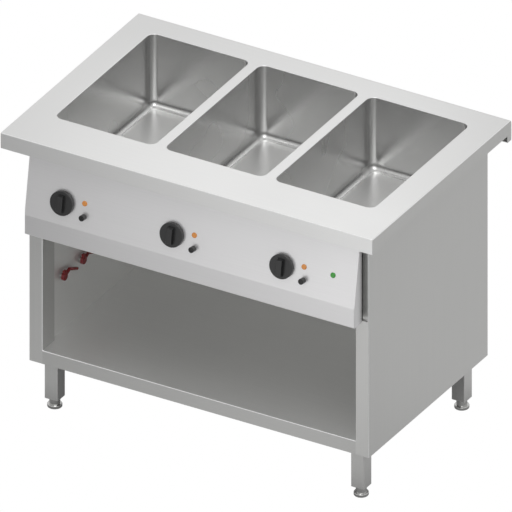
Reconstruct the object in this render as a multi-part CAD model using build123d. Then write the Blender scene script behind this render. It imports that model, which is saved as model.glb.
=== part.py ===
"""Three-well steam table on an open cabinet, modelled as folded stainless sheet.

Frame: +X is the operator's right, +Y points from the control side to the rear, +Z is up.
The origin is on the floor, under the middle of the worktop.  All sizes are in millimetres.
"""
from build123d import *
from math import cos, pi, radians, sin
import os

# ---------------------------------------------------------------- driving dimensions
# wells: each takes one full-size gastronorm pan, or smaller ones side by side
well_w = 300.0
well_l = 507.0
well_depth = 217.0
well_corner_r = 22.0
well_floor_r = 20.0
well_wall = 1.2
well_flange = 8.0
well_bridge = 30.0
well_count = 3
well_mouth_r = 1.2

# worktop around the wells
side_margin = 80.0
front_margin = 141.0
rear_margin = 77.0
work_height = 850.0
top_t = 2.0
front_skirt = 46.0
side_skirt = 40.0
deep_skirt_len = 60.0
skirt_step = 6.0
rear_drop = 60.0
rear_lip = 21.0
rear_roll_r = 9.0
skirt_lip = 12.0
top_bend_r = 2.5

# cabinet
sheet = 1.5
liner_t = 1.2
bend_r = 2.2
overhang_side = 49.0
overhang_front = 65.5
overhang_rear = 40.5
clearance_under = 147.0
shelf_fold = 40.0
post_w = 40.0
post_return = 62.0
liner_setback = 8.0
notch_lip = 4.0
notch_depth = 6.0
notch_wall_gap = 6.0
rear_flange = 20.0
bottom_flange = 30.0
rail_gap = 2.0
rear_gap = 3.0

# control panel
panel_setback = 15.5
panel_drop = 294.0
panel_lower_face = 57.6
panel_tilt = 9.1
panel_inset = 15.0
panel_back_gap = 11.0
box_inset = 13.0
box_top_gap = 45.0
panel_gap = 2.0

# things on the sloping face, offset from each well's centre and down from the worktop
knob_dx = -56.0
knob_down = 173.0
lamp_dx = 8.0
lamp_down = 159.0
reset_dx = 9.0
reset_down = 196.0
power_lamp_dx = 95.0
knob_d = 68.0
knob_lift = 1.0
knob_disc = 10.0
grip_h = 11.0
grip_w = 17.0
grip_base_l = 51.0
grip_face_l = 41.0
grip_r = 1.4
knob_edge_r = 1.2
shaft_d = 6.0
shaft_len_out = 9.0
running_clear = 0.05
neck_d = 9.6
neck_clear = 0.1
neck_out = 0.5
thermo_w = 34.0
thermo_h = 38.0
thermo_deep = 22.0
bracket_w = 46.0
bracket_h = 44.0
collar_d = 16.0
collar_h = 15.0
collar_r = 1.0
limiter_box = 30.0
limiter_deep = 24.0
button_d = 8.0
button_recess = 0.8
button_len = 16.0
button_travel = 2.5
lens_d = 15.0
lens_h = 3.0
lens_r = 2.4
lamp_barrel_d = 12.0
lamp_barrel_l = 24.0
blade_t = 0.8
blade_w = 6.0
blade_l = 9.0

# drains: one pipe and one quarter-turn valve for each well
drain_d = 28.0
drain_from_rear = 45.0
pipe_od = 21.3
pipe_wall = 2.0
pipe_bend_r = 24.0
pipe_level = 38.0
cup_wall = 2.0
cup_deep = 14.0
cup_flange = 8.0
pipe_clear = 1.0
valve_pitch = 99.0
valve_first_y = 112.0
valve_above_shelf = 168.0
valve_w = 30.0
valve_half_h = 24.0
valve_t = 21.0
boss_d = 13.0
boss_out = 4.0
boss_clear = 0.5
stem_d = 8.0
stem_in = 10.0
hub_d = 23.0
hub_t = 9.0
hub_stand_off = 5.5
hub_edge_r = 2.0
lever_rise_y = 25.0
lever_rise_z = 10.0
lever_end_y = 64.5
lever_end_z = -8.0
lever_h = 8.0
lever_t = 7.0
lever_edge_r = 1.6
tab_w = 10.0
tab_h = 19.0
outlet_below = 22.0
outlet_d = 20.0
outlet_len = 25.0

# legs and levelling feet
leg_w = 40.0
leg_t = 1.5
leg_r = 3.0
leg_inset_x = 50.0
leg_inset_front = 47.0
leg_inset_rear = 48.0
leg_end = 29.0
leg_plate_l = 66.0
leg_plate_t = 3.0
foot_d = 40.0
foot_disc = 10.0
foot_neck_d = 29.0
foot_neck_top = 60.0
foot_edge_r = 2.5
socket_h = 24.0

# heaters, terminals, supply inlet, screws and stiffeners
heater_w = 240.0
heater_l = 360.0
heater_t = 4.0
element_d = 8.0
element_runs = 6
gland_hole_d = 20.0
gland_bore_d = 10.0
gland_hex = 24.0
gland_out = 22.0
gland_thread = 9.0
gland_nut_t = 5.0
gland_edge_r = 4.0
gland_inset = 90.0
gland_above = 36.0
terminal_l = 56.0
terminal_w = 26.0
terminal_h = 22.0
terminal_inset = 20.0
terminal_poles = 5
terminal_screw_d = 6.0
screw_d = 4.0
screw_head_d = 8.0
screw_head_h = 2.2
screw_edge = 10.0
screw_rows = 5
stiffener_h = 35.0
stiffener_w = 36.0
rear_stiffener_w = 20.0
stiffener_gap = 20.0
rib_w = 10.0
rib_h = 26.0

over = 1.0  # how far a cutting body runs past what it cuts

# ---------------------------------------------------------------- derived sizes
top_w = well_count * well_w + (well_count - 1) * well_bridge + 2 * side_margin
top_d = front_margin + well_l + rear_margin
top_front = -top_d / 2
top_rear = top_d / 2
top_under = work_height - top_t

well_pitch = well_w + well_bridge
well_y0 = top_front + front_margin
well_y1 = well_y0 + well_l
well_yc = (well_y0 + well_y1) / 2
well_floor = work_height - well_depth
well_under = well_floor - well_wall

body_half = top_w / 2 - overhang_side
body_front = top_front + overhang_front
body_rear = top_rear - overhang_rear
body_bottom = clearance_under
post_inner = body_half - post_w
liner_face = post_inner + liner_setback
liner_out = liner_face + liner_t
return_end = body_front + post_return
shelf_top = body_bottom + shelf_fold
back_face = body_rear - sheet

panel_front = top_front + panel_setback
panel_bottom = work_height - panel_drop
panel_crease = panel_bottom + panel_lower_face
panel_half = body_half - panel_inset
panel_back = body_front - panel_back_gap
panel_top = top_under - panel_gap
panel_slope = sin(radians(panel_tilt)) / cos(radians(panel_tilt))
notch_bottom = panel_bottom - panel_gap
box_floor = panel_bottom + sheet
box_half = panel_half - box_inset
box_top = top_under - box_top_gap
box_back = return_end - sheet
ceiling_z = box_floor

cavity_mid = (body_half - sheet + liner_out) / 2
valve_z = shelf_top + valve_above_shelf
drain_y = well_y1 - drain_from_rear
pipe_z = well_under - pipe_level
leg_x = body_half - leg_inset_x
leg_front_y = body_front + leg_inset_front
leg_rear_y = body_rear - leg_inset_rear
plate_edge = liner_face - rail_gap
gland_x = body_half - gland_inset
gland_z = ceiling_z + gland_above
stiffener_rear = well_y0 - well_wall - well_flange - stiffener_gap
rear_stiffener_y = back_face - rear_gap - rear_stiffener_w

stations = {"left": -1, "middle": 0, "right": 1}
sides = {"left": -1, "right": 1}


# ---------------------------------------------------------------- helpers
def box(x0, x1, y0, y1, z0, z1):
    """A block between two corners."""
    mid = Pos((x0 + x1) / 2, (y0 + y1) / 2, (z0 + z1) / 2)
    return mid * Box(abs(x1 - x0), abs(y1 - y0), abs(z1 - z0))


def slab(side, x0, x1, y0, y1, z0, z1):
    """A block given for the right-hand side, placed on either side."""
    return box(side * x0, side * x1, y0, y1, z0, z1)


def rod(radius, start, direction, length):
    """A round bar from a point, along a direction."""
    seat = Plane(origin=start, z_dir=direction)
    return seat * Cylinder(radius, length, align=(Align.CENTER, Align.CENTER, Align.MIN))


def disc(radius, z0, z1):
    """A cylinder on the local Z axis between two heights."""
    return Pos(0, 0, (z0 + z1) / 2) * Cylinder(radius, z1 - z0)


def prism_x(points, x0, x1):
    """A (y, z) outline drawn out along X."""
    face = make_face(Polyline(*points, close=True))
    return extrude(Plane.YZ.offset(x0) * face, x1 - x0)


def edges_near(shape, axis, **where):
    """Straight edges along an axis whose middle has the given coordinates."""
    found = []
    for edge in shape.edges().filter_by(axis):
        middle = edge.center()
        if all(abs(getattr(middle, key) - value) < 0.01 for key, value in where.items()):
            found.append(edge)
    return found


def panel_y(z):
    """Y of the control panel's outer face at a height above the crease."""
    return panel_front + panel_slope * (z - panel_crease)


def panel_place(x, down):
    """Plane on the sloping face: local Z points out of it, local Y runs up it."""
    z = work_height - down
    tilt = radians(panel_tilt)
    normal = Vector(0, -cos(tilt), sin(tilt))
    return Plane(origin=(x, panel_y(z), z), x_dir=(1, 0, 0), z_dir=normal)


def well_x(name):
    return stations[name] * well_pitch


def valve_y(name):
    """The left well's valve is the rearmost of the row."""
    return body_front + valve_first_y + valve_pitch * (1 - stations[name])


# ---------------------------------------------------------------- worktop and wells
def worktop():
    outer = box(-top_w / 2, top_w / 2, top_front, top_rear, work_height - rear_drop, work_height)
    outer = fillet(edges_near(outer, Axis.X, Y=top_rear, Z=work_height), rear_roll_r)
    rim = edges_near(outer, Axis.X, Y=top_front, Z=work_height)
    for side in sides.values():
        rim += edges_near(outer, Axis.Y, X=side * top_w / 2, Z=work_height)
        rim += edges_near(outer, Axis.Z, X=side * top_w / 2, Y=top_front)
    outer = fillet(rim, top_bend_r)
    inner = box(-top_w / 2 + top_t, top_w / 2 - top_t, top_front + top_t, top_rear - top_t,
                work_height - rear_drop - top_t, top_under)
    roll = edges_near(inner, Axis.X, Y=top_rear - top_t, Z=top_under)
    shell = outer - fillet(roll, rear_roll_r - top_t)

    low = work_height - rear_drop - over
    lip_y = top_rear - rear_lip
    step_y = top_front + deep_skirt_len
    below = [
        (top_front - over, low),
        (top_front - over, work_height - front_skirt),
        (step_y, work_height - front_skirt),
        (step_y + skirt_step, work_height - side_skirt),
        (lip_y, work_height - side_skirt),
        (lip_y, low),
    ]
    shell -= prism_x(below, -top_w, top_w)
    inside = top_w / 2 - top_t
    shell += box(-inside, inside, lip_y, top_rear - top_t,
                 work_height - rear_drop, work_height - rear_drop + top_t)
    front_z = work_height - front_skirt
    shell += box(-inside, inside, top_front + top_t, top_front + top_t + skirt_lip,
                 front_z, front_z + top_t)
    side_z = work_height - side_skirt
    for side in sides.values():
        shell += slab(side, inside - skirt_lip, inside, step_y + skirt_step, lip_y,
                      side_z, side_z + top_t)
    for name in stations:
        mouth = RectangleRounded(well_w, well_l, well_corner_r)
        shell -= Pos(well_x(name), well_yc, top_under - over) * extrude(mouth, top_t + 2 * over)
    mouths = [e for e in shell.edges()
              if abs(e.center().Z - work_height) < 0.01
              and abs(e.center().X) < top_w / 2 - side_margin / 2
              and well_y0 - over < e.center().Y < well_y1 + over]
    return fillet(mouths, well_mouth_r)


def well(name):
    """A deep pan with a round-cornered floor, spot-welded under the worktop."""
    outer_l = well_l + 2 * well_wall
    outer_w = well_w + 2 * well_wall
    outer = extrude(RectangleRounded(outer_w, outer_l, well_corner_r + well_wall),
                    top_under - well_under)
    outer = fillet(outer.edges().group_by(Axis.Z)[0], well_floor_r + well_wall)
    inner = extrude(RectangleRounded(well_w, well_l, well_corner_r), well_depth)
    inner = fillet(inner.edges().group_by(Axis.Z)[0], well_floor_r)
    flange_r = well_corner_r + well_wall + well_flange
    flange = RectangleRounded(outer_w + 2 * well_flange, outer_l + 2 * well_flange, flange_r)
    rim = Pos(0, 0, top_under - well_under - well_wall) * extrude(flange, well_wall)
    pan = outer + rim - Pos(0, 0, well_wall) * inner
    pan = Pos(well_x(name), well_yc, well_under) * pan
    hole = (well_x(name), drain_y, well_under - over)
    return pan - rod(drain_d / 2, hole, (0, 0, 1), well_wall + 2 * over)


def long_stiffeners():
    """Folded channels under the worktop, in front of the wells and behind them."""
    half = liner_face
    channels = []
    for y0, width in ((stiffener_rear - stiffener_w, stiffener_w),
                      (rear_stiffener_y, rear_stiffener_w)):
        block = box(-half, half, y0, y0 + width, top_under - stiffener_h, top_under)
        cut = box(-half - over, half + over, y0 + sheet, y0 + width - sheet,
                  top_under - stiffener_h - over, top_under - sheet)
        channels.append(block - cut)
    return Compound(children=channels)


def bridge_ribs():
    """Folded ribs that carry the narrow bridges between neighbouring wells."""
    y0 = stiffener_rear
    y1 = rear_stiffener_y
    ribs = []
    for k in range(well_count - 1):
        x = (k - (well_count - 2) / 2) * well_pitch
        block = box(x - rib_w / 2, x + rib_w / 2, y0, y1, top_under - rib_h, top_under)
        cut = box(x - rib_w / 2 + sheet, x + rib_w / 2 - sheet, y0 - over, y1 + over,
                  top_under - rib_h - over, top_under - sheet)
        ribs.append(block - cut)
    return Compound(children=ribs)


def heater(name):
    """Cast plate with a tubular element, clamped under the floor of a well."""
    x = well_x(name)
    y0 = drain_y - drain_d - cup_flange - heater_l
    z1 = well_under
    plate = box(x - heater_w / 2, x + heater_w / 2, y0, y0 + heater_l, z1 - heater_t, z1)
    pitch = heater_w / element_runs
    margin = pitch / 2
    tube_z = z1 - heater_t
    body = plate
    for k in range(element_runs):
        run_x = x - heater_w / 2 + margin + k * pitch
        body += rod(element_d / 2, (run_x, y0 + margin, tube_z), (0, 1, 0), heater_l - 2 * margin)
        if k < element_runs - 1:
            bend_y = y0 + heater_l - margin if k % 2 == 0 else y0 + margin
            body += rod(element_d / 2, (run_x, bend_y, tube_z), (1, 0, 0), pitch)
    return body


# ---------------------------------------------------------------- cabinet
def side_panel(side):
    """Outer skin folded round the front into a post, with its inner return."""
    out = body_half
    skin_in = out - sheet

    def folded(z0, z1, inner_x, rounded):
        block = slab(side, inner_x, out, body_front, return_end, z0, z1)
        edges = []
        for x in rounded:
            edges += edges_near(block, Axis.Z, X=side * x, Y=body_front)
        block = fillet(edges, bend_r)
        open_x = inner_x + sheet if len(rounded) == 2 else inner_x - over
        return block - slab(side, open_x, skin_in, body_front + sheet, return_end + over,
                            z0 - over, z1 + over)

    panel = folded(shelf_top, notch_bottom, post_inner, (out, post_inner))
    panel += folded(body_bottom, shelf_top, post_inner, (out,))
    panel += folded(notch_bottom, top_under, out - notch_lip, (out,))
    panel += slab(side, skin_in, out, return_end, back_face, body_bottom, top_under)
    panel += slab(side, post_inner, liner_face, return_end - sheet, return_end, shelf_top, notch_bottom)
    recess = body_front + notch_depth
    panel += slab(side, box_half + notch_wall_gap, skin_in, recess, recess + sheet,
                  notch_bottom, top_under)
    panel += slab(side, post_inner, skin_in, body_front + sheet, recess + sheet,
                  notch_bottom - sheet, notch_bottom)
    panel += slab(side, skin_in - bottom_flange + sheet, skin_in, body_front + sheet, back_face,
                  body_bottom, body_bottom + sheet)
    panel += slab(side, skin_in - rear_flange, skin_in, back_face - sheet, back_face,
                  body_bottom + sheet, top_under)
    if side < 0:
        for name in stations:
            hole = (-cavity_mid, valve_y(name), body_bottom - over)
            panel -= rod(pipe_od / 2 + pipe_clear, hole, (0, 0, 1), sheet + 2 * over)
    return panel


def side_liner(side):
    """Inner skin of the double side wall, set back behind the post."""
    liner = slab(side, liner_face, liner_out, return_end, back_face, shelf_top, ceiling_z)
    if side < 0:
        for name in stations:
            centre = (-liner_out - over, valve_y(name), valve_z)
            liner -= rod(boss_d / 2 + boss_clear, centre, (1, 0, 0), liner_t + 2 * over)
    return liner


def back_panel():
    panel = box(-body_half, body_half, back_face, body_rear, body_bottom, top_under)
    for x, z in screw_points():
        panel -= rod(screw_d / 2, (x, back_face - over, z), (0, 1, 0), sheet + 2 * over)
    inlet = (gland_x, back_face - over, gland_z)
    return panel - rod(gland_hole_d / 2, inlet, (0, 1, 0), sheet + 2 * over)


def screw_points():
    """Places of the back panel's screws, down both side flanges."""
    x = body_half - sheet - rear_flange / 2
    z0 = body_bottom + 2 * screw_edge
    z1 = top_under - rear_drop
    step = (z1 - z0) / (screw_rows - 1)
    return [(side * x, z0 + k * step) for side in sides.values() for k in range(screw_rows)]


def back_screws():
    screws = []
    for x, z in screw_points():
        head = rod(screw_head_d / 2, (x, body_rear, z), (0, 1, 0), screw_head_h)
        head = fillet(head.faces().sort_by(Axis.Y)[-1].edges(), screw_head_h * 0.6)
        shank = rod(screw_d / 2, (x, back_face, z), (0, 1, 0), sheet)
        screws.append(head + shank)
    return Compound(children=screws)


def bottom_shelf():
    """Folded tray: the deep front edge lines up with the posts."""
    front = box(-post_inner, post_inner, body_front, return_end, body_bottom, shelf_top)
    front = fillet(edges_near(front, Axis.X, Y=body_front, Z=shelf_top), bend_r)
    tray = front - box(-post_inner - over, post_inner + over, body_front + sheet,
                       return_end + over, body_bottom - over, shelf_top - sheet)
    tray += box(-post_inner, post_inner, body_front + sheet, body_front + skirt_lip,
                body_bottom, body_bottom + sheet)
    tray += box(-liner_out, liner_out, return_end, back_face, shelf_top - sheet, shelf_top)
    tray += box(-liner_out, liner_out, back_face - sheet, back_face, body_bottom, shelf_top)
    return tray


def shelf_rails():
    """Channels under the shelf that carry it and take the legs."""
    z0 = body_bottom + leg_plate_t
    y0 = leg_front_y - leg_plate_l / 2
    y1 = back_face - rear_gap
    rails = []
    for side in sides.values():
        x0 = leg_x - leg_w / 2
        block = slab(side, x0, plate_edge, y0, y1, z0, shelf_top - sheet)
        cut = slab(side, x0 + sheet, plate_edge - sheet, y0 - over, y1 + over,
                   z0 + sheet, shelf_top)
        rails.append(block - cut)
    return Compound(children=rails)


def service_ceiling():
    """Sheet that closes the wiring and pipe space above the open cabinet."""
    return box(-liner_out, liner_out, return_end, back_face, ceiling_z, ceiling_z + sheet)


# ---------------------------------------------------------------- control panel
def control_panel():
    """One folded sheet: lower face, sloping face, bottom return and two cheeks."""
    outline = [
        (panel_front, panel_bottom),
        (panel_front, panel_crease),
        (panel_y(panel_top), panel_top),
        (panel_back, panel_top),
        (panel_back, panel_bottom),
    ]
    outer = prism_x(outline, -panel_half, panel_half)
    soft = edges_near(outer, Axis.X, Y=panel_front, Z=panel_bottom)
    for side in sides.values():
        soft += edges_near(outer, Axis.Z, X=side * panel_half, Y=panel_front)
    outer = fillet(soft, bend_r)
    across = sheet / cos(radians(panel_tilt))
    above = panel_top + over
    inner = [
        (panel_front + sheet, panel_bottom + sheet),
        (panel_front + sheet, panel_crease + (sheet - across) / panel_slope),
        (panel_y(above) + across, above),
        (panel_back + over, above),
        (panel_back + over, panel_bottom + sheet),
    ]
    panel = outer - prism_x(inner, -panel_half + sheet, panel_half - sheet)
    for name in stations:
        for dx, down, hole_d in ((knob_dx, knob_down, neck_d + neck_clear),
                                 (reset_dx, reset_down, neck_d + neck_clear),
                                 (lamp_dx, lamp_down, lamp_barrel_d + neck_clear)):
            panel -= panel_place(well_x(name) + dx, down) * disc(hole_d / 2, -3 * sheet, sheet)
    power = panel_place(well_x("right") + power_lamp_dx, lamp_down)
    return panel - power * disc((lamp_barrel_d + neck_clear) / 2, -3 * sheet, sheet)


def control_box():
    """Chassis tray behind the panel: floor, two ends and a heat shield at the rear."""
    y0 = panel_front + 2 * sheet
    floor = box(-box_half, box_half, y0, box_back, box_floor, box_floor + sheet)
    shield = box(-box_half, box_half, box_back - sheet, box_back, box_floor, box_top)
    lean = 4 * sheet
    end = [
        (panel_front + lean, box_floor),
        (panel_front + lean, panel_crease),
        (panel_y(box_top) + lean, box_top),
        (box_back, box_top),
        (box_back, box_floor),
    ]
    tray = floor + shield
    for x in (-box_half, box_half - sheet):
        tray += prism_x(end, x, x + sheet)
    for name in stations:
        centre = (well_x(name) + knob_dx, box_back - sheet - over, pipe_z)
        tray -= rod(neck_d, centre, (0, 1, 0), sheet + 2 * over)
    return tray


def knob(name):
    disc_top = knob_lift + knob_disc
    face = disc(knob_d / 2, knob_lift, disc_top)
    face = fillet(face.faces().sort_by(Axis.Z)[-1].edges(), knob_edge_r)
    side_view = [
        (-grip_base_l / 2, disc_top - grip_r),
        (grip_base_l / 2, disc_top - grip_r),
        (grip_face_l / 2, disc_top + grip_h),
        (-grip_face_l / 2, disc_top + grip_h),
    ]
    grip = prism_x(side_view, -grip_w / 2, grip_w / 2)
    grip = fillet(grip.faces().sort_by(Axis.Z)[-1].edges(), grip_r)
    turned = face + grip
    turned -= disc(shaft_d / 2, 0, shaft_len_out)
    return panel_place(well_x(name) + knob_dx, knob_down) * turned


def thermostat_shaft(name):
    shaft = disc(shaft_d / 2, -thermo_deep / 2 - 2 * sheet, shaft_len_out)
    return panel_place(well_x(name) + knob_dx, knob_down) * shaft


def thermostat(name):
    """Capillary thermostat: bracket, case and the threaded neck that fills the hole."""
    back = -sheet
    plate = Pos(0, 0, back - sheet / 2) * Box(bracket_w, bracket_h, sheet)
    case = Pos(0, 0, back - sheet - thermo_deep / 2) * Box(thermo_w, thermo_h, thermo_deep)
    case = fillet(case.edges().filter_by(Axis.Z), 2 * sheet)
    neck = disc(neck_d / 2, back - sheet, neck_out)
    body = plate + case + neck
    body -= disc(shaft_d / 2 + running_clear, -thermo_deep / 2 - 2 * sheet - over, neck_out + over)
    return panel_place(well_x(name) + knob_dx, knob_down) * body


def limiter(name):
    """Overheat limiter: case behind the panel and the collar round its reset button."""
    case = Pos(0, 0, -sheet - limiter_deep / 2) * Box(limiter_box, limiter_box, limiter_deep)
    case = fillet(case.edges().filter_by(Axis.Z), 2 * sheet)
    collar = disc(collar_d / 2, 0, collar_h)
    collar = fillet(collar.faces().sort_by(Axis.Z)[-1].edges(), collar_r)
    neck = disc(neck_d / 2, -sheet, 0)
    body = case + collar + neck
    deep = collar_h - button_recess - button_len - button_travel - over
    body -= disc(button_d / 2 + running_clear, deep, collar_h + over)
    return panel_place(well_x(name) + reset_dx, reset_down) * body


def reset_button(name):
    face = collar_h - button_recess
    pin = disc(button_d / 2, face - button_len, face)
    pin = fillet(pin.faces().sort_by(Axis.Z)[-1].edges(), collar_r / 2)
    return panel_place(well_x(name) + reset_dx, reset_down) * pin


def lamp(x):
    """Push-in indicator: domed lens, barrel and two blade terminals."""
    lens = disc(lens_d / 2, 0, lens_h)
    lens = fillet(lens.faces().sort_by(Axis.Z)[-1].edges(), lens_r)
    barrel = disc(lamp_barrel_d / 2, -lamp_barrel_l, 0)
    body = lens + barrel
    for dx in (-lamp_barrel_d / 5, lamp_barrel_d / 5):
        body += Pos(dx, 0, over - lamp_barrel_l - blade_l / 2) * Box(blade_t, blade_w, blade_l)
    return panel_place(x, lamp_down) * body


def terminal_block():
    """Row of screw terminals on the chassis floor, where the supply comes in."""
    x1 = box_half - terminal_inset
    y0 = (panel_front + box_back) / 2
    z0 = box_floor + sheet
    block = box(x1 - terminal_l, x1, y0 - terminal_w / 2, y0 + terminal_w / 2,
                z0, z0 + terminal_h)
    for k in range(terminal_poles):
        x = x1 - (k + 0.5) * terminal_l / terminal_poles
        for y in (y0 - terminal_w / 4, y0 + terminal_w / 4):
            block -= rod(terminal_screw_d / 2, (x, y, z0 + terminal_h / 2), (0, 0, 1), terminal_h)
    return block


def cable_gland():
    """Supply inlet in the rear, at the height of the wiring space."""
    seat = Plane(origin=(gland_x, body_rear, gland_z), z_dir=(0, 1, 0))
    hexagon = RegularPolygon(gland_hex / 2 / cos(pi / 6), 6)
    nut = seat * extrude(hexagon, gland_out / 2)
    dome = seat * disc(gland_hex / 2 - over, gland_out / 2, gland_out)
    dome = fillet(dome.faces().sort_by(Axis.Y)[-1].edges(), gland_edge_r)
    thread = seat * disc(gland_hole_d / 2, -gland_thread, 0)
    locknut = Pos(0, -sheet, 0) * (seat * extrude(hexagon, -gland_nut_t))
    gland = nut + dome + thread + locknut
    return gland - seat * disc(gland_bore_d / 2, -gland_thread - over, gland_out + over)


# ---------------------------------------------------------------- drains
def drain_pipe(name):
    """Cup under the well, then pipe forward, left and down inside the side wall."""
    x = well_x(name)
    y = valve_y(name)
    valve_top = valve_z + valve_half_h
    cup_bottom = well_under - cup_deep
    path = FilletPolyline(
        (x, drain_y, cup_bottom),
        (x, drain_y, pipe_z),
        (x, y, pipe_z),
        (-cavity_mid, y, pipe_z),
        (-cavity_mid, y, valve_top),
        radius=min(pipe_bend_r, cup_bottom - pipe_z - 0.1),
    )
    start = Plane(origin=(x, drain_y, cup_bottom), x_dir=(1, 0, 0), z_dir=(0, 0, -1))
    bore_r = pipe_od / 2 - pipe_wall
    pipe = sweep(start * (Circle(pipe_od / 2) - Circle(bore_r)), path=path)
    cup_r = drain_d / 2 + cup_wall
    cup = disc(cup_r, 0, cup_deep) + disc(cup_r + cup_flange, cup_deep - cup_wall, cup_deep)
    cup -= disc(drain_d / 2, cup_wall, cup_deep + over)
    cup -= disc(bore_r, -over, cup_wall + over)
    return pipe + Pos(x, drain_y, cup_bottom) * cup


def drain_valve(name):
    """Quarter-turn valve in the hollow side wall, with its tail below the cabinet."""
    y = valve_y(name)
    x = -cavity_mid
    body = box(x - valve_t / 2, x + valve_t / 2, y - valve_w / 2, y + valve_w / 2,
               valve_z - valve_half_h, valve_z + valve_half_h)
    body = fillet(body.edges().filter_by(Axis.Z), 3 * sheet)
    tail_z = body_bottom - outlet_below
    body += rod(outlet_d / 2, (x, y, tail_z), (0, 0, 1), outlet_len)
    body += rod(pipe_od / 2, (x, y, tail_z + outlet_len), (0, 0, 1), valve_z - tail_z - outlet_len)
    body += rod(boss_d / 2, (x, y, valve_z), (1, 0, 0), -liner_face + boss_out - x)
    body -= rod(pipe_od / 2 - pipe_wall, (x, y, tail_z - over), (0, 0, 1), valve_z - tail_z - stem_in)
    body -= rod(pipe_od / 2 - pipe_wall, (x, y, valve_z + stem_in), (0, 0, 1), valve_half_h)
    return body - rod(stem_d / 2 + running_clear, (x, y, valve_z), (1, 0, 0), 3 * valve_t)


def valve_lever(name):
    """Moulded lever: hub with a stop tab, and an arm that rises and then dips."""
    y = valve_y(name)
    hub_x = -liner_face + hub_stand_off
    hub = rod(hub_d / 2, (hub_x, y, valve_z), (1, 0, 0), hub_t)
    hub = fillet(hub.faces().sort_by(Axis.X)[-1].edges(), hub_edge_r)
    mid = hub_x + hub_t / 2
    tab = box(mid - lever_t / 2, mid + lever_t / 2, y - tab_w / 2, y + tab_w / 2,
              valve_z, valve_z + tab_h)
    tab = fillet(tab.edges().group_by(Axis.Z)[-1], hub_edge_r)
    half = lever_h / 2
    route = Polyline((y, valve_z), (y + lever_rise_y, valve_z + lever_rise_z),
                     (y + lever_end_y, valve_z + lever_end_z))
    outline = make_face(offset(route, half, side=Side.BOTH).edges())
    arm = Plane.YZ.offset(mid - lever_t / 2) * outline
    arm = extrude(arm, lever_t)
    ends = arm.faces().sort_by(Axis.X)
    arm = fillet(ends[0].edges() + ends[-1].edges(), lever_edge_r)
    stem = rod(stem_d / 2, (over - cavity_mid, y, valve_z), (1, 0, 0), hub_x + cavity_mid)
    return hub + tab + arm + stem


# ---------------------------------------------------------------- legs and feet
def leg_places():
    for end, y in (("front", leg_front_y), ("rear", leg_rear_y)):
        for hand, side in sides.items():
            yield f"{end}_{hand}", side, y


def leg(side, y):
    x = side * leg_x
    plan = RectangleRounded(leg_w, leg_w, leg_r) - RectangleRounded(
        leg_w - 2 * leg_t, leg_w - 2 * leg_t, leg_r - leg_t)
    tube = Pos(x, y, leg_end) * extrude(plan, body_bottom - leg_end)
    plate = slab(side, leg_x - leg_w / 2, plate_edge, y - leg_plate_l / 2, y + leg_plate_l / 2,
                 body_bottom, body_bottom + leg_plate_t)
    return tube + plate


def foot_sockets():
    """Square plugs in the leg ends, bored for the feet."""
    plugs = []
    inner = leg_w - 2 * leg_t
    for name, side, y in leg_places():
        plug = extrude(RectangleRounded(inner, inner, leg_r - leg_t), socket_h)
        plug -= disc(foot_neck_d / 2 + running_clear, -over, socket_h + over)
        plugs.append(Pos(side * leg_x, y, leg_end) * plug)
    return Compound(children=plugs)


def foot(side, y):
    pad = disc(foot_d / 2, 0, foot_disc)
    pad = fillet(pad.edges().filter_by(GeomType.CIRCLE), foot_edge_r)
    body = pad + disc(foot_neck_d / 2, foot_disc - foot_edge_r, foot_neck_top)
    return Pos(side * leg_x, y, 0) * body


# ---------------------------------------------------------------- assembly
def build():
    parts = {
        "worktop": worktop(),
        "long_stiffeners": long_stiffeners(),
        "bridge_ribs": bridge_ribs(),
        "back_panel": back_panel(),
        "back_screws": back_screws(),
        "bottom_shelf": bottom_shelf(),
        "shelf_rails": shelf_rails(),
        "service_ceiling": service_ceiling(),
        "control_panel": control_panel(),
        "control_box": control_box(),
        "terminal_block": terminal_block(),
        "cable_gland": cable_gland(),
        "foot_sockets": foot_sockets(),
        "lamp_power": lamp(well_x("right") + power_lamp_dx),
    }
    for hand, side in sides.items():
        parts[f"side_panel_{hand}"] = side_panel(side)
        parts[f"side_liner_{hand}"] = side_liner(side)
    for name in stations:
        parts[f"well_{name}"] = well(name)
        parts[f"heater_{name}"] = heater(name)
        parts[f"thermostat_{name}"] = thermostat(name)
        parts[f"thermostat_shaft_{name}"] = thermostat_shaft(name)
        parts[f"knob_{name}"] = knob(name)
        parts[f"limiter_{name}"] = limiter(name)
        parts[f"reset_button_{name}"] = reset_button(name)
        parts[f"lamp_{name}"] = lamp(well_x(name) + lamp_dx)
        parts[f"drain_pipe_{name}"] = drain_pipe(name)
        parts[f"drain_valve_{name}"] = drain_valve(name)
        parts[f"valve_lever_{name}"] = valve_lever(name)
    for name, side, y in leg_places():
        parts[f"leg_{name}"] = leg(side, y)
        parts[f"foot_{name}"] = foot(side, y)
    return parts


os.makedirs("parts", exist_ok=True)
for node, shape in build().items():
    export_step(shape, f"parts/{node}.step")
print(f"body {2 * body_half:.0f} x {body_rear - body_front:.0f}, top {top_w:.0f} x {top_d:.0f} mm")
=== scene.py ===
"""Looks for the three-well steam table: steel, plastics, lenses, floor, light and camera."""
import math

import bpy
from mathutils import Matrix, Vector

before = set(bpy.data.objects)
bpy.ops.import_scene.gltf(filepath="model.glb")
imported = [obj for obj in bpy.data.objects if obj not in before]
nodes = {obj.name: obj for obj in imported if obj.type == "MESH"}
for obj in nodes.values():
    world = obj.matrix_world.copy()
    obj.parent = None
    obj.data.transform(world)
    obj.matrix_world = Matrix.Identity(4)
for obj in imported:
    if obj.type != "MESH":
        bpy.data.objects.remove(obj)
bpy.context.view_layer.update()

STATIONS = ("left", "middle", "right")
CORNERS = ("front_left", "front_right", "rear_left", "rear_right")


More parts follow.
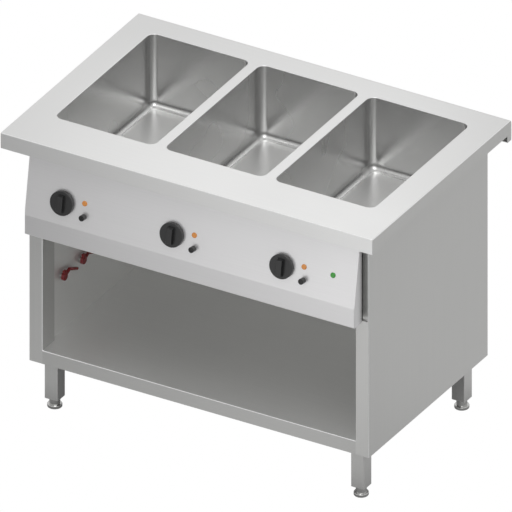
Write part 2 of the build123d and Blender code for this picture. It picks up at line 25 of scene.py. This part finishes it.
# ---------------------------------------------------------------- materials
NOISE_LOW, NOISE_HIGH = 0.25, 0.75      # where most of a noise texture's values lie
BRUSH_BUMP, SKIN_BUMP = 0.35, 0.3       # bump strengths of brushed steel and moulded plastic
GRAIN_SHADE = 0.965                     # the dark side of the brushing, as a share of the steel
SKIN_SMOOTHER, SKIN_ROUGHER = 0.04, 0.06
LENS_ROUGH, LENS_GRAIN, LENS_SHADE = 0.18, 260.0, 0.8
CLOUDS = (3.0, 3.0, 3.0)                # scale of the slow change in a sheet's sheen


class Mat:
    """A node material with a Principled shader and short ways to add to it."""

    def __init__(self, name, base, rough, metallic=0.0):
        self.mat = bpy.data.materials.new(name)
        self.mat.use_nodes = True
        self.tree = self.mat.node_tree
        self.shader = self.tree.nodes["Principled BSDF"]
        self.set("Base Color", (*base, 1.0))
        self.set("Roughness", rough)
        self.set("Metallic", metallic)

    def set(self, socket, value):
        self.shader.inputs[socket].default_value = value

    def node(self, kind, **inputs):
        made = self.tree.nodes.new(kind)
        for key, value in inputs.items():
            made.inputs[key].default_value = value
        return made

    def link(self, out_socket, in_socket):
        self.tree.links.new(out_socket, in_socket)

    def coords(self, scale):
        """Object coordinates, stretched by scale along each axis."""
        where = self.node("ShaderNodeTexCoord")
        mapping = self.node("ShaderNodeMapping", Scale=scale)
        self.link(where.outputs["Object"], mapping.inputs["Vector"])
        return mapping.outputs["Vector"]

    def noise(self, scale_xyz, scale=1.0, detail=2.0):
        made = self.node("ShaderNodeTexNoise", Scale=scale, Detail=detail)
        self.link(self.coords(scale_xyz), made.inputs["Vector"])
        return made.outputs["Fac"]

    def spread(self, fac, low, high):
        """Turns a 0 to 1 pattern into low to high."""
        return self.ramp(fac, NOISE_LOW, NOISE_HIGH, low, high)

    def ramp(self, value, start, end, low, high):
        """Low to high as value goes from start to end, level outside them."""
        made = self.node("ShaderNodeMapRange", **{"From Min": start, "From Max": end,
                                                  "To Min": low, "To Max": high})
        self.link(value, made.inputs["Value"])
        return made.outputs["Result"]

    def maths(self, operation, *values):
        """A Math node over sockets or numbers."""
        made = self.node("ShaderNodeMath")
        made.operation = operation
        for socket, value in zip(made.inputs, values):
            if isinstance(value, float):
                socket.default_value = value
            else:
                self.link(value, socket)
        return made.outputs["Value"]

    def bump(self, fac, distance, strength=1.0):
        made = self.node("ShaderNodeBump", Strength=strength, Distance=distance)
        self.link(fac, made.inputs["Height"])
        self.link(made.outputs["Normal"], self.shader.inputs["Normal"])

    def tint(self, fac, dark, light):
        """Base colour between two colours along a pattern."""
        made = self.node("ShaderNodeMix")
        made.data_type = "RGBA"
        made.inputs["A"].default_value = (*dark, 1.0)
        made.inputs["B"].default_value = (*light, 1.0)
        self.link(fac, made.inputs["Factor"])
        self.link(made.outputs["Result"], self.shader.inputs["Base Color"])


def steel(name, base, rough, grain, depth=0.00002, cloud=0.04, metallic=0.82):
    """Satin stainless sheet: fine brushing along one axis over a soft cloudy sheen."""
    made = Mat(name, base, rough, metallic=metallic)
    brushed = made.noise(grain, detail=3.0)
    made.bump(brushed, depth, BRUSH_BUMP)
    soft = made.noise(CLOUDS)
    made.link(made.spread(soft, rough - cloud, rough + cloud), made.shader.inputs["Roughness"])
    dark = tuple(GRAIN_SHADE * c for c in base)
    made.tint(made.spread(brushed, 0.0, 1.0), dark, base)
    return made.mat


def plastic(name, base, rough, grain=900.0, depth=0.00004, shine=0.5):
    """Moulded plastic with a fine spark-eroded grain."""
    made = Mat(name, base, rough)
    skin = made.noise((grain, grain, grain))
    made.bump(skin, depth, SKIN_BUMP)
    patchy = made.spread(skin, rough - SKIN_SMOOTHER, rough + SKIN_ROUGHER)
    made.link(patchy, made.shader.inputs["Roughness"])
    made.set("Specular IOR Level", shine)
    return made.mat


def lens(name, base, glow):
    """Lit indicator lens with a faintly uneven colour."""
    made = Mat(name, base, LENS_ROUGH)
    soft = made.noise((LENS_GRAIN, LENS_GRAIN, LENS_GRAIN))
    made.tint(made.spread(soft, 0.0, 1.0), tuple(LENS_SHADE * c for c in base), base)
    made.set("Emission Color", (*base, 1.0))
    made.set("Emission Strength", glow)
    return made.mat


ALONG_X = (2.0, 900.0, 900.0)
ALONG_Y = (900.0, 2.0, 900.0)
ALONG_Z = (900.0, 900.0, 2.0)

looks = {
    "top": steel("steel_top", (0.725, 0.725, 0.72), 0.36, ALONG_X),
    "well": steel("steel_well", (0.55, 0.55, 0.545), 0.27, ALONG_Z, cloud=0.015, metallic=0.93),
    # a lighter copy of the well steel, painted light for the well floors
    "well_floor": steel("steel_well_floor_painted_light", (0.84, 0.84, 0.835), 0.30, ALONG_Y, cloud=0.015,
                        metallic=0.85),
    "panel": steel("steel_panel", (0.76, 0.755, 0.76), 0.35, ALONG_X, metallic=0.84),
    "body": steel("steel_body", (0.62, 0.62, 0.61), 0.42, ALONG_Z),
    # lighter than the cabinet's outer steel: painted light that lifts the shade inside the cabinet
    "inside": steel("steel_inside_lightened", (0.87, 0.87, 0.86), 0.42, ALONG_X),
    # a darker copy of the steel for the tray's front edge, kept out of the painted light inside
    "rail": steel("steel_rail", (0.56, 0.56, 0.55), 0.42, ALONG_X),
    # a lighter copy of the steel, a painted highlight for the bends
    "bend": steel("steel_bend_painted_highlight", (0.90, 0.90, 0.90), 0.30, ALONG_X),
    "tube": steel("steel_tube", (0.60, 0.60, 0.59), 0.34, ALONG_Z),
    "mill": steel("steel_mill", (0.50, 0.51, 0.52), 0.5, ALONG_X),
    "polished": steel("foot_polished", (0.62, 0.62, 0.61), 0.16, (60.0, 60.0, 60.0), metallic=1.0),
    "zinc": steel("zinc_plate", (0.62, 0.61, 0.56), 0.38, (300.0, 300.0, 300.0)),
    "cast": steel("cast_heater", (0.55, 0.55, 0.55), 0.6, (200.0, 200.0, 200.0), 0.0002),
    "nickel": steel("valve_nickel", (0.36, 0.36, 0.35), 0.35, (300.0, 300.0, 300.0)),
    "knob": plastic("knob_black", (0.014, 0.014, 0.0145), 0.34, shine=0.55),
    "button": plastic("button_black", (0.006, 0.006, 0.006), 0.26, shine=0.5),
    "socket": plastic("socket_black", (0.03, 0.03, 0.03), 0.6),
    "nylon": plastic("nylon_natural", (0.62, 0.60, 0.54), 0.5),
    "lever": plastic("lever_red", (0.15, 0.002, 0.004), 0.24),
    "amber": lens("lens_amber", (0.58, 0.23, 0.05), 0.06),
    "green": lens("lens_green", (0.035, 0.25, 0.03), 0.12),
}

dressed = {
    "top": ["worktop"],
    "well": [f"well_{s}" for s in STATIONS],
    "panel": ["control_panel"],
    "body": ["side_panel_left", "side_panel_right", "back_panel"],
    "inside": ["bottom_shelf", "service_ceiling", "control_box",
               "side_liner_left", "side_liner_right"],
    "tube": [f"leg_{c}" for c in CORNERS] + [f"drain_pipe_{s}" for s in STATIONS],
    "mill": ["long_stiffeners", "bridge_ribs", "shelf_rails"],
    "polished": [f"foot_{c}" for c in CORNERS],
    "zinc": [f"{n}_{s}" for s in STATIONS for n in ("thermostat", "thermostat_shaft")]
            + ["back_screws"],
    "cast": [f"heater_{s}" for s in STATIONS],
    "nickel": [f"drain_valve_{s}" for s in STATIONS],
    "knob": [f"knob_{s}" for s in STATIONS],
    "button": [f"{n}_{s}" for s in STATIONS for n in ("limiter", "reset_button")]
              + ["cable_gland"],
    "socket": ["foot_sockets"],
    "nylon": ["terminal_block"],
    "lever": [f"valve_lever_{s}" for s in STATIONS],
    "amber": [f"lamp_{s}" for s in STATIONS],
    "green": ["lamp_power"],
}
for look, names in dressed.items():
    for name in names:
        mesh = nodes[name].data
        mesh.materials.clear()
        mesh.materials.append(looks[look])

# painted highlight: the rounded faces of each bend get a lighter copy of the steel, standing in for
# the highlight along the bend
SQUARE = 0.96                           # a flat face's normal is at least this far along an axis
for name in ("side_panel_left", "side_panel_right", "bottom_shelf", "control_panel", "worktop"):
    mesh = nodes[name].data
    mesh.materials.append(looks["bend"])
    for face in mesh.polygons:
        if max(abs(c) for c in face.normal) < SQUARE:
            face.material_index = 1

# the grain of the worktop's two side skirts runs down them, as on the cabinet's sides
worktop = nodes["worktop"].data
worktop.materials.append(looks["body"])
for face in worktop.polygons:
    if abs(face.normal.x) > SQUARE:
        face.material_index = 2

# painted light and shade: each well's floor gets a much lighter copy of the well steel than its
# walls, so the floor shows lit and the walls shaded; the floor's grain runs front to back
for station in STATIONS:
    mesh = nodes[f"well_{station}"].data
    mesh.materials.append(looks["well_floor"])
    for face in mesh.polygons:
        if face.normal.z > SQUARE:
            face.material_index = 1

# the tray's front edge faces out of the cabinet and takes a darker copy of the steel, so the
# painted light of the lightened inside steel stays on the tray's shaded inside
tray = nodes["bottom_shelf"].data
tray.materials.append(looks["rail"])
for face in tray.polygons:
    if face.normal.y < -SQUARE:
        face.material_index = 2


# ---------------------------------------------------------------- camera
def aim(obj, place, target):
    """Puts an object at place, looking at target."""
    obj.location = place
    obj.rotation_euler = (Vector(target) - Vector(place)).to_track_quat("-Z", "Y").to_euler()


AZIMUTH = math.radians(30.0)
ELEVATION = math.radians(30.0)
TARGET = Vector((0.0, 0.0, 0.459))
DISTANCE = 4.0
VIEW_WIDTH = 1.334
back = Vector((math.sin(AZIMUTH) * math.cos(ELEVATION),
               -math.cos(AZIMUTH) * math.cos(ELEVATION),
               math.sin(ELEVATION)))
camera_data = bpy.data.cameras.new("camera")
camera_data.type = "ORTHO"
camera_data.ortho_scale = VIEW_WIDTH
camera = bpy.data.objects.new("camera", camera_data)
bpy.context.scene.collection.objects.link(camera)
aim(camera, TARGET + DISTANCE * back, TARGET)
bpy.context.scene.camera = camera


# ---------------------------------------------------------------- floor and light
SEEN = 1.0                              # strength of floor and surroundings on screen
SURROUNDINGS = 0.79                     # and of the surroundings in what they light


def on_screen(tree, bounced):
    """An emission of one strength on screen, and of another, a socket or a number, elsewhere."""
    path = tree.nodes.new("ShaderNodeLightPath")
    glow = tree.nodes.new("ShaderNodeMix")
    glow.inputs["B"].default_value = SEEN
    if isinstance(bounced, float):
        glow.inputs["A"].default_value = bounced
    else:
        tree.links.new(bounced, glow.inputs["A"])
    tree.links.new(path.outputs["Is Camera Ray"], glow.inputs["Factor"])
    return glow.outputs["Result"]


FLOOR = 12.0
floor_data = bpy.data.meshes.new("floor")
corners = [(-FLOOR, -FLOOR, 0), (FLOOR, -FLOOR, 0), (FLOOR, FLOOR, 0), (-FLOOR, FLOOR, 0)]
floor_data.from_pydata(corners, [], [(0, 1, 2, 3)])
floor = bpy.data.objects.new("floor", floor_data)
bpy.context.scene.collection.objects.link(floor)
pale = Mat("floor_pale", (0.0, 0.0, 0.0), 0.9)
pale.set("Emission Color", (1.0, 1.0, 1.0, 1.0))
pale.set("Specular IOR Level", 0.0)

# What the floor lights depends on the place on it, in metres east and north of the unit's
# middle.  It is brightest in front, leans to a ridge east of the middle, and is dim under the unit.
SOUTH, LEAN = -3.0, 1.1
WEST, RIDGE, EAST = -2.0, 0.25, 0.95
LEAN_WEST, LEAN_RIDGE, LEAN_EAST = -1.0, 1.25, -0.4
FAR, NEAR, REAR = -2.9, -1.2, 0.3
GLOW_FAR, GLOW_NEAR, REAR_RISE = 1.35, 0.24, 0.36
GLOW_LEAST, GLOW_MOST = 0.16, 1.30
HALF_WIDTH, HALF_DEPTH, INSIDE, OUTSIDE, SHADE = 0.52, 0.33, 0.10, 0.08, 0.25

place = pale.node("ShaderNodeSeparateXYZ")
pale.link(pale.coords((1.0, 1.0, 1.0)), place.inputs["Vector"])
east, north = place.outputs["X"], place.outputs["Y"]
across = pale.maths("MINIMUM", pale.ramp(east, WEST, RIDGE, LEAN_WEST, LEAN_RIDGE),
                    pale.ramp(east, RIDGE, EAST, LEAN_RIDGE, LEAN_EAST))
lean = pale.maths("MULTIPLY", pale.ramp(north, SOUTH, 0.0, LEAN, 0.0), across)
pool = pale.maths("ADD", lean, pale.ramp(north, FAR, NEAR, GLOW_FAR, GLOW_NEAR))
pool = pale.maths("ADD", pool, pale.ramp(north, NEAR, REAR, 0.0, REAR_RISE))
pool = pale.maths("MINIMUM", pale.maths("MAXIMUM", pool, GLOW_LEAST), GLOW_MOST)
beside = [pale.ramp(pale.maths("ABSOLUTE", way), half - INSIDE, half + OUTSIDE, SHADE, 1.0)
          for way, half in ((east, HALF_WIDTH), (north, HALF_DEPTH))]
pool = pale.maths("MULTIPLY", pool, pale.maths("MAXIMUM", *beside))
pale.link(on_screen(pale.tree, pool), pale.shader.inputs["Emission Strength"])
floor_data.materials.append(pale.mat)


def softbox(name, place, target, width, height, power):
    """A large area light that only shows in what it lights."""
    data = bpy.data.lights.new(name, "AREA")
    data.shape = "RECTANGLE"
    data.size = width
    data.size_y = height
    data.energy = power
    made = bpy.data.objects.new(name, data)
    bpy.context.scene.collection.objects.link(made)
    made.visible_camera = False
    aim(made, place, target)


softbox("key", (1.9, -3.1, 2.4), (0.0, -0.2, 0.5), width=3.4, height=3.4, power=26.0)
softbox("overhead", (0.5, -1.3, 3.0), (0.2, -0.3, 0.7), width=1.2, height=1.2, power=18.0)
softbox("top_card", (-0.65, 1.15, 2.1), (0.4, -0.2, 0.85), width=1.1, height=0.9, power=1.6)

world = bpy.data.worlds.new("studio")
bpy.context.scene.world = world
world.use_nodes = True
sky = world.node_tree.nodes["Background"]
sky.inputs["Color"].default_value = (1.0, 1.0, 1.0, 1.0)
world.node_tree.links.new(on_screen(world.node_tree, SURROUNDINGS), sky.inputs["Strength"])

bpy.context.scene.view_settings.view_transform = "Standard"
